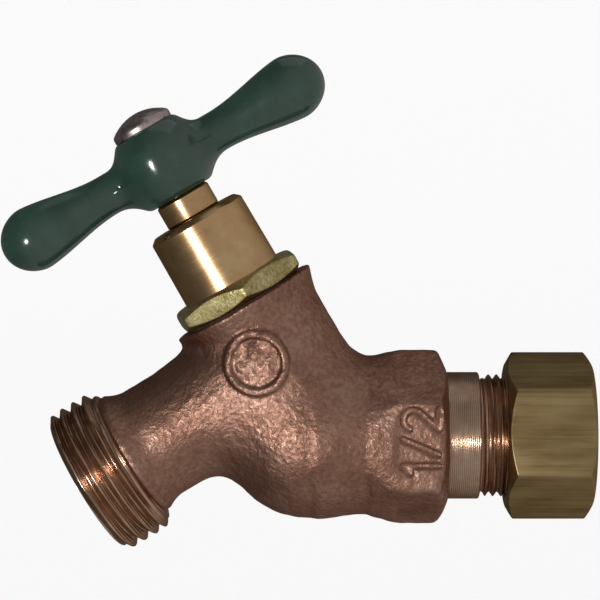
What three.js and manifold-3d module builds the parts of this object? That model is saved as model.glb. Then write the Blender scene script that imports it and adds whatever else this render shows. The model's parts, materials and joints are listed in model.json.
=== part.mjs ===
// Hose bib: a globe-pattern garden tap with an angled bonnet, a tee handle, a
// male hose thread on its spout and a compression joint for 5/8 inch copper tube.
// Millimetres, +Z up. The origin is on the inlet axis, at the outer end face of
// the compression nut; +X points out of the inlet, toward the supply tube.

import * as THREE from 'three';
import { mergeVertices } from 'three/addons/utils/BufferGeometryUtils.js';
import Module from 'manifold-3d';

// ---- Layout. Distances along an axis are measured from the valve centre, ----
// ---- where the stem axis crosses the inlet axis.                          ----
const VALVE_CENTRE_X = -46.6;
const STEM_LEAN = 30; // degrees from vertical, toward the spout
const SPOUT_DROP = 31; // degrees below horizontal
const SPOUT_START = 13.6; // where the spout axis leaves the stem axis
const SPOUT_LENGTH = 40;
const RUNNING_GAP = 0.3; // between pieces that touch on the real object
const SEAL_GAP = 0.2; // on each side of a squeezed seal

// ---- Valve body casting ----
const GLOBE_RADIUS = 14.1;
const GLOBE_SHIFT = -2.3;
const BOSS_RADIUS = 11.5;
const BOSS_FLANGE_RADIUS = 12.9;
const BOSS_TOP = 26.6;
const BARREL_RADIUS = 13.5;
const WRENCH_HEX_RADIUS = 15.2;
const WRENCH_HEX_FACE_RADIUS = 12.2;
const WRENCH_HEX_START = 9.8;
const WRENCH_HEX_END = 22;
const NECK_RADIUS = 10.8;
const NECK_END = 39.7;
const SPOUT_RADIUS = 9.9;
const SPOUT_SHOULDER_RADIUS = 10.9;

// ---- Threads ----
const HOSE_THREAD = { crest: 13.5, root: 12.2, pitch: 2.209, turns: 4, start: 30.4 };
const INLET_THREAD = { crest: 10.32, root: 9.5, pitch: 1.411, turns: 8, start: 27.6 };
const STEM_THREAD = { crest: 5.9, root: 4.9, pitch: 2.2, turns: 4, start: 16.4 };

// ---- Waterway ----
const INLET_BORE = 6;
const SEAT_BORE = 4.8;
const SEAT_RING_RADIUS = 6.2;
const SEAT_TOP = 8;
const CHAMBER_FLOOR = 7.1;
const CHAMBER_BORE = 8.2;
const BONNET_SOCKET_BORE = 8.6;
const BONNET_SOCKET_START = 19.8;
const SPOUT_BORE = 6.5;
const SPOUT_MOUTH_BORE = 7.5;
const SPOUT_MOUTH_DEPTH = 12;
const TUBE_RADIUS = 7.94;
const TUBE_SOCKET_BORE = 8;
const TUBE_STOP = 25;
const SOCKET_CONE_START = 37.7;
const SOCKET_CONE_RADIUS = 9.6;

// ---- Compression joint ----
const NUT_START = 31.7;
const NUT_END = -VALVE_CENTRE_X;
const NUT_HEX_RADIUS = 14.66;
const NUT_FACE_RADIUS = 12.3;
const NUT_TURN = 9.2; // degrees that the front facet is turned up
const NUT_BORE = INLET_THREAD.crest + RUNNING_GAP;
const NUT_CONE_START = 42.6;
const NUT_CONE_END = 44.6;
const NUT_CONE_RADIUS = 9.9;
const NUT_TUBE_HOLE = 8.15;
const FERRULE_BORE = TUBE_RADIUS + 0.1;
const FERRULE_RADIUS = 9.2;
const FERRULE_START = 38.7;
const FERRULE_END = 44;

// ---- Bonnet ----
const BONNET_BOTTOM = 20.5;
const BONNET_THREAD_RADIUS = BONNET_SOCKET_BORE - RUNNING_GAP;
const BONNET_FLANGE_BOTTOM = 27.6;
const BONNET_FLANGE_TOP = 30.9;
const BONNET_HEX_RADIUS = 12.7;
const BONNET_FACE_RADIUS = 11.2;
const BONNET_TURN = 8.4; // degrees from a corner facing front
const BONNET_RADIUS = 8.85;
const BONNET_TOP = 43.8;
const BONNET_CHAMFER = 1.1;
const BONNET_THREAD_BORE = STEM_THREAD.crest + RUNNING_GAP;
const BONNET_SEAL_BORE = 5.75;
const BONNET_SEAL_START = 32.6;
const BONNET_LIP_START = 43;
const BONNET_LIP_BORE = 5.05;

// ---- Stem and its seals ----
const CUP_RADIUS = 7.3;
const CUP_RECESS_RADIUS = 6.7;
const CUP_BOTTOM = 9.8;
const CUP_RECESS_TOP = 11.6;
const CUP_TOP = 13;
const STEM_WAIST_RADIUS = 4.5;
const STEM_RADIUS = 4.75;
const STEM_THREAD_END = 26.5;
const SEAL_LAND_RADIUS = 5.35;
const SEAL_LAND_START = 33;
const SEAL_LAND_END = 37.4;
const SEAL_GROOVE_RADIUS = 4.1;
const SEAL_GROOVE_WIDTH = 1.7;
const SEAL_CENTRES = { stem_oring_lower: 34.2, stem_oring_upper: 36.2 };
const SEAL_RING_RADIUS = 4.93;
const SEAL_SECTION_RADIUS = 0.6;
const STEM_SHOULDER = 48.1;
const SQUARE_WIDTH = 6;
const SQUARE_TOP = 59.4;
const WASHER_RADIUS = 6.4;
const WASHER_BOTTOM = SEAT_TOP + RUNNING_GAP;
const WASHER_TOP = CUP_RECESS_TOP - RUNNING_GAP;
const WASHER_HOLE = 2.1;
const WASHER_SCREW_HEAD_RADIUS = 3.4;
const WASHER_SCREW_HEAD_HEIGHT = 1.6;
const WASHER_SCREW_RADIUS = 1.7;
const WASHER_SCREW_TIP = 16.6;
const WASHER_SCREW_SLOT = 0.9;

// ---- Tee handle and its screw ----
const HANDLE_TURN = 3; // degrees that the left arm is turned toward the front
const HUB_BOTTOM = 48.5;
const HUB_TOP = 61;
const HUB_RADIUS = 7.8;
const SQUARE_HOLE_TOP = 59.8;
const ARM_HEIGHT = 54.3;
const ARM_REACH = 31.3;
const ARM_NECK_RADIUS = 3.5;
const ARM_LOBE_RADIUS = 5.7;
const ARM_LOBE_CENTRE = 26;
const ARM_FLATNESS = 0.8;
const HANDLE_SCREW_HEAD_RADIUS = 5.4;
const HANDLE_SCREW_HEAD_HEIGHT = 2.9;
const HANDLE_SCREW_RIM = 0.6;
const HANDLE_SCREW_RADIUS = 2.4;
const HANDLE_SCREW_TIP = 51.5;
const HANDLE_SCREW_SLOT = 1.2;

// ---- Facets round a full turn ----
const LARGE = 40;
const SMALL = 28;

const wasm = await Module();
wasm.setup();

const radians = THREE.MathUtils.degToRad;

// Each axis is a turn of +Z about Y, placed relative to the valve centre.
const alongInlet = new THREE.Matrix4().makeRotationY(radians(90));
const alongStem = new THREE.Matrix4().makeRotationY(radians(-STEM_LEAN));
const alongSpout = new THREE.Matrix4()
  .makeRotationY(radians(-90 - SPOUT_DROP))
  .setPosition(new THREE.Vector3(0, 0, SPOUT_START).applyMatrix4(alongStem));

// ---- Helpers ----

function solid(geometry, matrix = new THREE.Matrix4()) {
  geometry.deleteAttribute('normal');
  geometry.deleteAttribute('uv');
  const merged = mergeVertices(geometry.applyMatrix4(matrix), 1e-4);
  const index = merged.index.array;
  const triangles = [];
  for (let i = 0; i < index.length; i += 3) {
    const corners = [index[i], index[i + 1], index[i + 2]];
    if (new Set(corners).size === 3) {
      triangles.push(...corners);
    }
  }
  return new wasm.Manifold(new wasm.Mesh({
    numProp: 3,
    vertProperties: new Float32Array(merged.attributes.position.array),
    triVerts: new Uint32Array(triangles),
  }));
}

// A solid of revolution about Z from rows of [radius, height], taken
// anticlockwise with the radius to the right and the height up.
function turned(rows, facets = LARGE, matrix = undefined) {
  const points = rows.map(([radius, height]) => new THREE.Vector2(radius, height));
  return solid(new THREE.LatheGeometry(points, facets).rotateX(Math.PI / 2), matrix);
}

function ring(rows, facets = LARGE, matrix = undefined) {
  return turned([...rows, rows[0]], facets, matrix);
}

function rod(radius, from, to, facets = SMALL, matrix = undefined) {
  return turned([[0, from], [radius, from], [radius, to], [0, to]], facets, matrix);
}

// A hexagonal bar along Z with a corner on +X, its ends rounded down to
// faceRadius by 30 degree chamfers.
function hexBar(cornerRadius, faceRadius, from, to, chamfered, matrix = undefined) {
  const chamfer = (cornerRadius - faceRadius) * Math.tan(radians(30));
  const bar = new THREE.CylinderGeometry(cornerRadius, cornerRadius, to - from, 6)
    .rotateX(Math.PI / 2)
    .rotateZ(radians(90))
    .translate(0, 0, (from + to) / 2);
  const lowChamfer = chamfered.includes('low') ? chamfer : 0;
  const lowRadius = chamfered.includes('low') ? faceRadius : cornerRadius;
  const rounding = turned([
    [0, from], [lowRadius, from], [cornerRadius, from + lowChamfer],
    [cornerRadius, to - chamfer], [faceRadius, to], [0, to],
  ], LARGE, matrix);
  return solid(bar, matrix).intersect(rounding);
}

function threadRows({ crest, root, pitch, turns, start }) {
  const rows = [];
  for (let turn = 0; turn < turns; turn += 1) {
    const height = start + turn * pitch;
    rows.push([root, height], [crest, height + pitch * 0.4], [crest, height + pitch * 0.6]);
  }
  rows.push([root, start + turns * pitch]);
  return rows;
}

function piece(name, shape, material) {
  const { vertProperties, triVerts } = shape.getMesh();
  const geometry = new THREE.BufferGeometry();
  geometry.setAttribute('position', new THREE.BufferAttribute(vertProperties, 3));
  geometry.setIndex(new THREE.BufferAttribute(triVerts, 1));
  geometry.computeVertexNormals();
  const mesh = new THREE.Mesh(geometry, material);
  mesh.name = name;
  return mesh;
}

// ---- Materials ----

function metal(color, roughness) {
  return new THREE.MeshStandardMaterial({ color, roughness, metalness: 1 });
}

const castBronze = metal(0x8a5a45, 0.5);
const rawBrass = metal(0x96804a, 0.3);
const drawnBrass = metal(0x6e5a34, 0.35);
const nickelSteel = metal(0x9a8f88, 0.3);
const greenEnamel = new THREE.MeshStandardMaterial({ color: 0x12402a, roughness: 0.15 });
const blackRubber = new THREE.MeshStandardMaterial({ color: 0x1c1c1c, roughness: 0.8 });
const redFibre = new THREE.MeshStandardMaterial({ color: 0x6b2f22, roughness: 0.9 });

// ---- Valve body ----

function bodyOutside() {
  const globe = solid(new THREE.SphereGeometry(GLOBE_RADIUS, LARGE, 22).translate(GLOBE_SHIFT, 0, 0));
  const boss = turned([
    [0, 0], [BOSS_RADIUS, 0], [BOSS_RADIUS, BOSS_TOP - 4], [BOSS_FLANGE_RADIUS, BOSS_TOP - 1.8],
    [BOSS_FLANGE_RADIUS, BOSS_TOP], [0, BOSS_TOP],
  ], LARGE, alongStem);
  const barrel = rod(BARREL_RADIUS, 0, WRENCH_HEX_START + 1, LARGE, alongInlet);
  const wrenchHex = hexBar(
    WRENCH_HEX_RADIUS, WRENCH_HEX_FACE_RADIUS, WRENCH_HEX_START, WRENCH_HEX_END, ['high'], alongInlet,
  );
  const neck = turned([
    [0, WRENCH_HEX_START], [NECK_RADIUS, WRENCH_HEX_START], [NECK_RADIUS, INLET_THREAD.start - 0.6],
    ...threadRows(INLET_THREAD), [INLET_THREAD.root, NECK_END], [0, NECK_END],
  ], LARGE, alongInlet);
  const spout = turned([
    [0, 0], [SPOUT_RADIUS, 0], [SPOUT_RADIUS, HOSE_THREAD.start - 4],
    [SPOUT_SHOULDER_RADIUS, HOSE_THREAD.start - 2], [SPOUT_SHOULDER_RADIUS, HOSE_THREAD.start - 0.3],
    ...threadRows(HOSE_THREAD), [HOSE_THREAD.root - 0.3, SPOUT_LENGTH], [0, SPOUT_LENGTH],
  ], LARGE, alongSpout);
  return [boss, barrel, wrenchHex, neck, spout].reduce((whole, part) => whole.add(part), globe);
}

function bodyWaterway() {
  const inlet = turned([
    [0, 0], [INLET_BORE, 0], [INLET_BORE, TUBE_STOP], [TUBE_SOCKET_BORE, TUBE_STOP],
    [TUBE_SOCKET_BORE, SOCKET_CONE_START], [SOCKET_CONE_RADIUS, NECK_END],
    [SOCKET_CONE_RADIUS, NECK_END + 1], [0, NECK_END + 1],
  ], SMALL, alongInlet);
  const lowerChamber = solid(new THREE.SphereGeometry(INLET_BORE, SMALL, 14));
  const seat = rod(SEAT_BORE, 0, SEAT_TOP + 1, SMALL, alongStem);
  const chamber = turned([
    [0, SEAT_TOP], [SEAT_RING_RADIUS, SEAT_TOP], [SEAT_RING_RADIUS, CHAMBER_FLOOR],
    [CHAMBER_BORE, CHAMBER_FLOOR], [CHAMBER_BORE, BONNET_SOCKET_START],
    [BONNET_SOCKET_BORE, BONNET_SOCKET_START], [BONNET_SOCKET_BORE, BOSS_TOP + 1], [0, BOSS_TOP + 1],
  ], SMALL, alongStem);
  const spout = turned([
    [0, 0], [SPOUT_BORE, 0], [SPOUT_BORE, SPOUT_LENGTH - SPOUT_MOUTH_DEPTH - 1],
    [SPOUT_MOUTH_BORE, SPOUT_LENGTH - SPOUT_MOUTH_DEPTH], [SPOUT_MOUTH_BORE, SPOUT_LENGTH + 1],
    [0, SPOUT_LENGTH + 1],
  ], SMALL, alongSpout);
  return [lowerChamber, seat, chamber, spout].reduce((whole, part) => whole.add(part), inlet);
}

const valveBody = piece('valve_body', bodyOutside().subtract(bodyWaterway()), castBronze);

// ---- Compression nut and ferrule, along the inlet axis ----

function compressionNut() {
  const hex = hexBar(
    NUT_HEX_RADIUS, NUT_FACE_RADIUS, NUT_START, NUT_END, ['low', 'high'],
    new THREE.Matrix4().makeRotationZ(radians(-NUT_TURN)),
  );
  const bore = turned([
    [0, NUT_START - 1], [NUT_BORE, NUT_START - 1], [NUT_BORE, NUT_CONE_START],
    [NUT_CONE_RADIUS, NUT_CONE_START], [NUT_TUBE_HOLE, NUT_CONE_END],
    [NUT_TUBE_HOLE, NUT_END + 1], [0, NUT_END + 1],
  ]);
  return hex.subtract(bore);
}

function compressionFerrule() {
  const endRadius = FERRULE_BORE + 0.3;
  return ring([
    [FERRULE_BORE, FERRULE_START], [endRadius, FERRULE_START],
    [FERRULE_RADIUS, FERRULE_START + 1], [FERRULE_RADIUS, FERRULE_END - 1.4],
    [endRadius, FERRULE_END], [FERRULE_BORE, FERRULE_END],
  ]);
}

const inletGroup = new THREE.Group();
inletGroup.applyMatrix4(alongInlet);
inletGroup.add(
  piece('compression_nut', compressionNut(), drawnBrass),
  piece('compression_ferrule', compressionFerrule(), rawBrass),
);

// ---- Bonnet and its gasket, along the stem axis ----

function bonnet() {
  const turnedPart = turned([
    [0, BONNET_BOTTOM], [BONNET_THREAD_RADIUS, BONNET_BOTTOM],
    [BONNET_THREAD_RADIUS, BONNET_FLANGE_BOTTOM], [BONNET_RADIUS, BONNET_FLANGE_BOTTOM],
    [BONNET_RADIUS, BONNET_TOP - BONNET_CHAMFER], [BONNET_RADIUS - BONNET_CHAMFER, BONNET_TOP],
    [0, BONNET_TOP],
  ]);
  const flange = hexBar(
    BONNET_HEX_RADIUS, BONNET_FACE_RADIUS, BONNET_FLANGE_BOTTOM, BONNET_FLANGE_TOP,
    ['low', 'high'], new THREE.Matrix4().makeRotationZ(radians(BONNET_TURN - 90)),
  );
  const bore = turned([
    [0, BONNET_BOTTOM - 1], [BONNET_THREAD_BORE, BONNET_BOTTOM - 1],
    [BONNET_THREAD_BORE, BONNET_SEAL_START], [BONNET_SEAL_BORE, BONNET_SEAL_START],
    [BONNET_SEAL_BORE, BONNET_LIP_START], [BONNET_LIP_BORE, BONNET_LIP_START],
    [BONNET_LIP_BORE, BONNET_TOP + 1], [0, BONNET_TOP + 1],
  ], SMALL);
  return turnedPart.add(flange).subtract(bore);
}

function bonnetGasket() {
  const inner = BONNET_THREAD_RADIUS + RUNNING_GAP;
  const outer = BONNET_FACE_RADIUS;
  const bottom = BOSS_TOP + SEAL_GAP;
  const top = BONNET_FLANGE_BOTTOM - SEAL_GAP;
  return ring([[inner, bottom], [outer, bottom], [outer, top], [inner, top]]);
}

// ---- Stem, its two O-rings, the seat washer and the washer screw ----

function stem() {
  const turnedPart = turned([
    [0, CUP_RECESS_TOP], [CUP_RECESS_RADIUS, CUP_RECESS_TOP], [CUP_RECESS_RADIUS, CUP_BOTTOM],
    [CUP_RADIUS, CUP_BOTTOM], [CUP_RADIUS, CUP_TOP], [STEM_WAIST_RADIUS, CUP_TOP],
    [STEM_WAIST_RADIUS, STEM_THREAD.start], ...threadRows(STEM_THREAD),
    [STEM_WAIST_RADIUS, STEM_THREAD_END], [STEM_RADIUS, STEM_THREAD_END],
    [STEM_RADIUS, SEAL_LAND_START], [SEAL_LAND_RADIUS, SEAL_LAND_START],
    ...Object.values(SEAL_CENTRES).flatMap((centre) => [
      [SEAL_LAND_RADIUS, centre - SEAL_GROOVE_WIDTH / 2],
      [SEAL_GROOVE_RADIUS, centre - SEAL_GROOVE_WIDTH / 2],
      [SEAL_GROOVE_RADIUS, centre + SEAL_GROOVE_WIDTH / 2],
      [SEAL_LAND_RADIUS, centre + SEAL_GROOVE_WIDTH / 2],
    ]),
    [SEAL_LAND_RADIUS, SEAL_LAND_END], [STEM_RADIUS, SEAL_LAND_END],
    [STEM_RADIUS, STEM_SHOULDER - 0.4], [STEM_RADIUS - 0.4, STEM_SHOULDER], [0, STEM_SHOULDER],
  ], SMALL);
  const square = solid(
    new THREE.BoxGeometry(SQUARE_WIDTH, SQUARE_WIDTH, SQUARE_TOP - STEM_SHOULDER + 2)
      .translate(0, 0, (SQUARE_TOP + STEM_SHOULDER - 2) / 2),
  );
  const washerScrewHole = rod(WASHER_SCREW_RADIUS + RUNNING_GAP, 5, WASHER_SCREW_TIP + 1);
  const handleScrewHole = rod(HANDLE_SCREW_RADIUS + 0.2, HANDLE_SCREW_TIP - 1, SQUARE_TOP + 1);
  return turnedPart.add(square).subtract(washerScrewHole).subtract(handleScrewHole);
}

function stemSeal(centre) {
  const section = [];
  for (let step = 0; step < 8; step += 1) {
    const angle = (step / 8) * 2 * Math.PI;
    section.push([
      SEAL_RING_RADIUS + SEAL_SECTION_RADIUS * Math.cos(angle),
      centre + SEAL_SECTION_RADIUS * Math.sin(angle),
    ]);
  }
  return ring(section, SMALL);
}

function seatWasher() {
  return ring([
    [WASHER_HOLE, WASHER_BOTTOM], [WASHER_RADIUS, WASHER_BOTTOM],
    [WASHER_RADIUS, WASHER_TOP], [WASHER_HOLE, WASHER_TOP],
  ], SMALL);
}

function slot(width, from, to) {
  const length = 20;
  return solid(new THREE.BoxGeometry(length, width, to - from).translate(0, 0, (from + to) / 2));
}

function washerScrew() {
  const headTop = SEAT_TOP;
  const headBottom = headTop - WASHER_SCREW_HEAD_HEIGHT;
  return turned([
    [0, headBottom], [WASHER_SCREW_HEAD_RADIUS, headBottom], [WASHER_SCREW_HEAD_RADIUS, headTop],
    [WASHER_SCREW_RADIUS, headTop], [WASHER_SCREW_RADIUS, WASHER_SCREW_TIP], [0, WASHER_SCREW_TIP],
  ], SMALL).subtract(slot(WASHER_SCREW_SLOT, headBottom - 1, headBottom + 0.7));
}

// ---- Tee handle: a hub with two flattened, flaring lobes ----

function handleArm(side) {
  const flare = (ARM_LOBE_RADIUS - ARM_NECK_RADIUS) / (ARM_LOBE_CENTRE - HUB_RADIUS);
  const rows = [[0, 0], [ARM_NECK_RADIUS, 0], [ARM_NECK_RADIUS, HUB_RADIUS]];
  const endLength = ARM_REACH - ARM_LOBE_CENTRE;
  const steps = 6;
  for (let step = 0; step <= steps; step += 1) {
    const angle = (step / steps) * (Math.PI / 2);
    rows.push([
      step === steps ? 0 : ARM_LOBE_RADIUS * Math.cos(angle) + flare * Math.sin(angle),
      ARM_LOBE_CENTRE + endLength * Math.sin(angle),
    ]);
  }
  const toSide = new THREE.Matrix4().makeTranslation(0, 0, ARM_HEIGHT)
    .multiply(new THREE.Matrix4().makeScale(1, ARM_FLATNESS, 1))
    .multiply(new THREE.Matrix4().makeRotationY(radians(90 * side)));
  return turned(rows, SMALL, toSide);
}

function handle() {
  const hub = turned([
    [0, HUB_BOTTOM], [6, HUB_BOTTOM], [7.1, HUB_BOTTOM + 1.2], [HUB_RADIUS, HUB_BOTTOM + 4],
    [HUB_RADIUS, HUB_TOP - 3], [6.6, HUB_TOP - 1.1], [5.4, HUB_TOP], [0, HUB_TOP],
  ]);
  const holeWidth = SQUARE_WIDTH + 2 * RUNNING_GAP;
  const squareHole = solid(
    new THREE.BoxGeometry(holeWidth, holeWidth, SQUARE_HOLE_TOP - HUB_BOTTOM + 2)
      .translate(0, 0, (SQUARE_HOLE_TOP + HUB_BOTTOM - 2) / 2),
  );
  const screwHole = rod(HANDLE_SCREW_RADIUS + RUNNING_GAP, HUB_BOTTOM, HUB_TOP + 1);
  return hub.add(handleArm(-1)).add(handleArm(1)).subtract(squareHole).subtract(screwHole);
}

function handleScrew() {
  const underHead = HUB_TOP + RUNNING_GAP;
  const domeTop = underHead + HANDLE_SCREW_HEAD_HEIGHT;
  const rows = [
    [0, HANDLE_SCREW_TIP], [HANDLE_SCREW_RADIUS, HANDLE_SCREW_TIP],
    [HANDLE_SCREW_RADIUS, underHead], [HANDLE_SCREW_HEAD_RADIUS, underHead],
  ];
  const steps = 6;
  for (let step = 0; step <= steps; step += 1) {
    const reach = 1 - step / steps;
    const dome = domeTop - underHead - HANDLE_SCREW_RIM;
    rows.push([
      HANDLE_SCREW_HEAD_RADIUS * reach,
      underHead + HANDLE_SCREW_RIM + dome * (1 - reach * reach),
    ]);
  }
  return turned(rows, SMALL).subtract(slot(HANDLE_SCREW_SLOT, domeTop - 1, domeTop + 1));
}

const handleGroup = new THREE.Group();
handleGroup.rotation.z = radians(HANDLE_TURN);
handleGroup.add(
  piece('stem', stem(), rawBrass),
  piece('washer_screw', washerScrew(), rawBrass),
  piece('handle', handle(), greenEnamel),
  piece('handle_screw', handleScrew(), nickelSteel),
);
for (const [name, centre] of Object.entries(SEAL_CENTRES)) {
  handleGroup.add(piece(name, stemSeal(centre), blackRubber));
}

const stemGroup = new THREE.Group();
stemGroup.applyMatrix4(alongStem);
stemGroup.add(
  piece('bonnet', bonnet(), rawBrass),
  piece('bonnet_gasket', bonnetGasket(), redFibre),
  piece('seat_washer', seatWasher(), blackRubber),
  handleGroup,
);

const hoseBib = new THREE.Group();
hoseBib.name = 'hose_bib';
hoseBib.position.x = VALVE_CENTRE_X;
hoseBib.add(valveBody, inletGroup, stemGroup);

export default hoseBib;
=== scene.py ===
"""Looks of the hose bib. Lengths are millimetres until a mesh is made, and metres in the stage."""

import json
import math

import bmesh
import bpy
import numpy as np
from mathutils import Matrix, Vector


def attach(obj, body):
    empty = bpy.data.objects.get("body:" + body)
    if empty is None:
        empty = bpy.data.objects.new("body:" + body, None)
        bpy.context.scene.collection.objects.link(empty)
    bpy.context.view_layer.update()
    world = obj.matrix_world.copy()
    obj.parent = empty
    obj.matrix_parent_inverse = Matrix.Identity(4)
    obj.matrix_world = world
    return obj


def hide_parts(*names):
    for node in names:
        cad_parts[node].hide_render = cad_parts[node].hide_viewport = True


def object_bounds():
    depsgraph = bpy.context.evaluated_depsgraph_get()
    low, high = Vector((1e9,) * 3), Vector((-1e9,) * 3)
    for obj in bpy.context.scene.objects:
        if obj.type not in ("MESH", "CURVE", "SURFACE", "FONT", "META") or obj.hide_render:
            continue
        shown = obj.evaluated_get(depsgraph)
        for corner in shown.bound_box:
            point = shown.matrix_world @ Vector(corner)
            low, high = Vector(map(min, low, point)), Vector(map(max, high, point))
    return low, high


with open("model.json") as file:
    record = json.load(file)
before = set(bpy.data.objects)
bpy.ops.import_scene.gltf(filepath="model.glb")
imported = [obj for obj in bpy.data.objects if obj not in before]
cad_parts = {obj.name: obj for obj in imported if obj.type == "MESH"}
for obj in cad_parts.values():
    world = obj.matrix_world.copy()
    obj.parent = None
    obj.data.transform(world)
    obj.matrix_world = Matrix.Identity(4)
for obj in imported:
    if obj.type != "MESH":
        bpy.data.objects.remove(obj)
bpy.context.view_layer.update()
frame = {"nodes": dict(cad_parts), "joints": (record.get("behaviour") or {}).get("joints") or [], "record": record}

MM = 0.001

# ---- Axes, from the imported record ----

joints = {joint["name"]: joint for joint in frame["joints"]}
mounts = {mount["name"]: mount for mount in frame["record"]["mounts"]}


def axis_frame(origin, axis):
    """A frame with +Z along axis and +Y along the row's Y."""
    z = Vector(axis).normalized()
    y = Vector((0, 1, 0))
    x = y.cross(z)
    return Matrix.Translation(origin) @ Matrix((x, y, z)).transposed().to_4x4()


SPOUT_LENGTH = 40
valve_centre = Vector(joints["handle_turn"]["pos_m"])
stem_axis = Vector(joints["handle_turn"]["axis"]).normalized()
inlet_axis = Vector(mounts["inlet_tube"]["axis"]).normalized()
spout_axis = Vector(mounts["hose_outlet_rim"]["axis"]).normalized()
rim_point = Vector(mounts["hose_outlet_rim"]["pos_m"])
spout_end = Vector((rim_point.x, 0, rim_point.z))

BODY = axis_frame(valve_centre, (0, 0, 1))
STEM = axis_frame(valve_centre, stem_axis)
INLET = axis_frame(valve_centre, inlet_axis)
SPOUT = axis_frame(spout_end - spout_axis * SPOUT_LENGTH * MM, spout_axis)
HANDLE_TURN = math.radians(3)
HANDLE = STEM @ Matrix.Rotation(HANDLE_TURN, 4, "Z")

# ---- Sizes, along each axis from the valve centre or from the spout's start ----

GLOBE_RADIUS = 14.2
GLOBE_SHIFT = -2.5
BOSS_RADIUS = 11.7
BOSS_FLARE = 1.35
BOSS_FLARE_START = 22
BOSS_TOP = 26.8
BARREL_RADIUS = 13.6
BARREL_END = 12

# The wrench hexagon sits a little low, and a cone trims each of its ends. A cone has its radius
# at one place along the inlet and shrinks by slope for each millimetre from there outward;
# steepness scales it to read as a distance.
WRENCH_FLAT = 13.3
HEXAGON_DROP = 0.25
HEXAGON_START = 8.5
HEXAGON_END = 21.9
HEXAGON_ROUNDING = 0.8
HEXAGON_NOSE = {"radius": 14.7, "at": 20.1, "slope": 2.1, "steepness": 0.43}
HEXAGON_HEEL = {"radius": 13.9, "at": 9.4, "slope": -0.42, "steepness": 0.92}

SPOUT_ROOT = 13.6  # where the spout axis leaves the stem axis
SPOUT_RADIUS = 10.1
SPOUT_END = 30.4
SPOUT_RISE = 0.35  # of the cast outside above the bore
SPOUT_FLARE = 0.7  # toward the globe
SPOUT_FLARE_END = 21
SPOUT_FLARE_LENGTH = 7
SPOUT_SHOULDER = 11.2
SPOUT_SHOULDER_START = 25.5
SPOUT_SHOULDER_LENGTH = 3.5

BOSS_FILLET = 5.0
BARREL_FILLET = 2.5
HEXAGON_FILLET = 1.2
SPOUT_FILLET = 6.0
SPOUT_FILLET_LOSS = 3.2  # from FILLET_LOSS_START, up the boss
FILLET_LOSS_START = 19
FILLET_LOSS_LENGTH = 6

HOSE_THREAD = {
    "crest": 13.5, "root": 12.2, "pitch": 2.209, "start": 30.2, "end": 39.35, "phase": 6 / 16,
}
INLET_THREAD = {
    "crest": 10.55, "root": 9.75, "pitch": 1.411, "start": 27.5, "end": 39.7, "phase": 0,
}

CHAMBER_BORE = 8.2
CHAMBER_FLOOR = 7.1
BONNET_SOCKET_BORE = 8.6
BONNET_SOCKET_START = 19.8
SEAT_BORE = 4.8
SEAT_DEPTH = 10
INLET_BORE = 6
NECK_SOCKET_BORE = 8.6
NECK_SOCKET_START = 19
SPOUT_BORE = 6.5
THREAD_SOCKET_BORE = 8.0
THREAD_SOCKET_START = 26.5

NUT_START = 31.7
NUT_END = 46.6
NUT_FLAT = 12.6
NUT_FACE_RADIUS = 12.3
NUT_TURN = math.radians(-9.2)
NUT_BORE = 10.62
NUT_CONE_START = 42.6
NUT_CONE_END = 44.6
NUT_TUBE_HOLE = 8.15
NUT_THREAD_END = 42.4
NUT_THREAD_GAP = 0.06
NUT_THREAD_WALL = 11.2  # the sleeve's outside, hidden in the nut

BONNET_FLAT = 11.05
BONNET_FACE_RADIUS = 10.7
BONNET_TURN = math.radians(8.4 - 90)
BONNET_TOP = 43.8
BONNET_MILLED_FROM = 9  # the hexagon's faces lie outside this radius
BONNET_SEAL_BORE = 5.75
BONNET_LIP_BORE = 5.05
HEX_LOW = 27.05
HEX_HIGH = 30.85
FACE_CHAMFER = math.tan(math.radians(30))  # of the nut's and the bonnet's corners

SEAL_LAND = 5.35
SEAL_GROOVE = 4.1
SEAL_RING_RADIUS = 4.93
SEAL_SECTION = 0.6
SEAL_HEIGHTS = {"stem_oring_lower": 34.2, "stem_oring_upper": 36.2}

ARM_HEIGHT = 54.4
ARM_RISE = 0.006
ARM_WAIST = 3.55
ARM_LOBE = 5.7
ARM_LOBE_CENTRE = 25
ARM_LOBE_REACH = 6.45
ARM_SWELL_START = 11
ARM_SWELL_LENGTH = 16
ARM_FLATNESS = 0.85  # of the waist, front to back
ARM_SWELL_DEPTH = 1.5
HUB_RADIUS = 7.8
HUB_TAPER = 2.0  # toward its top and bottom
HUB_TAPER_HEIGHT = 6.3
HUB_MIDDLE = 54.6
HUB_HALF_HEIGHT = 6.35
HUB_TOP = 61
SQUARE_HOLE = 3.3
SQUARE_HOLE_START = 40.2
SQUARE_HOLE_END = 59.8
SCREW_HOLE = 2.7
SCREW_SHANK = 2.4
SCREW_TIP = 51.5
SCREW_SLOT = 0.6
SCREW_SLOT_DEPTH = 1.15
SCREW_HEAD = 5.4
SCREW_CROWN = HUB_TOP + 3.1
SCREW_UNDERSIDE = HUB_TOP - 0.15
SCREW_DOME = 8.2

# ---- Mesh helpers ----


def make_object(name, verts, faces, matrix, material, body, sharp_angle=30):
    """A smooth-shaded piece from millimetre vertices in the given frame, riding on a body."""
    mesh = bpy.data.meshes.new(name)
    mesh.from_pydata((np.asarray(verts) * MM).tolist(), [], faces)
    clean = bmesh.new()
    clean.from_mesh(mesh)
    bmesh.ops.remove_doubles(clean, verts=clean.verts, dist=1e-7)
    bmesh.ops.dissolve_degenerate(clean, edges=clean.edges, dist=1e-8)
    bmesh.ops.recalc_face_normals(clean, faces=clean.faces)
    clean.to_mesh(mesh)
    clean.free()
    mesh.shade_smooth()
    mesh.set_sharp_from_angle(angle=math.radians(sharp_angle))
    mesh.materials.append(material)
    piece = bpy.data.objects.new(name, mesh)
    bpy.context.scene.collection.objects.link(piece)
    piece.matrix_world = matrix
    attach(piece, body)
    return piece


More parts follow.
